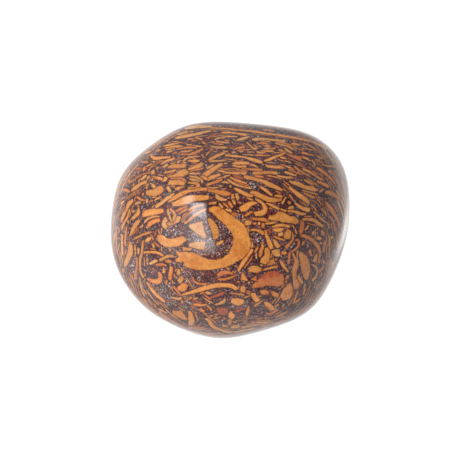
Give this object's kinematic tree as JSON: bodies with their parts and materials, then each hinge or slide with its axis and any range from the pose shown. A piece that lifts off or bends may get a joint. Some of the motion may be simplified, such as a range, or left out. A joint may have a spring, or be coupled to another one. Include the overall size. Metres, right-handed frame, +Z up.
{
  "type": "tumbled coquina jasper",
  "caption": "Loose polished pebble of shell-bearing jasper, broad and rounded with softly worn faces and a small flat to rest on.",
  "frame": {"origin": "middle of the footprint's bounding box, on the surface that the stone rests on", "axes": "+Z up, +X along the stone's longest extent and to the right as the patterned side is seen, -Y towards the person who looks at it"},
  "size_m": [0.034, 0.0318, 0.0283],
  "materials": {
    "polished_jasper": "gloss"
  },
  "bodies": {
    "root": {"stone": "polished_jasper"}
  },
  "joints": []
}
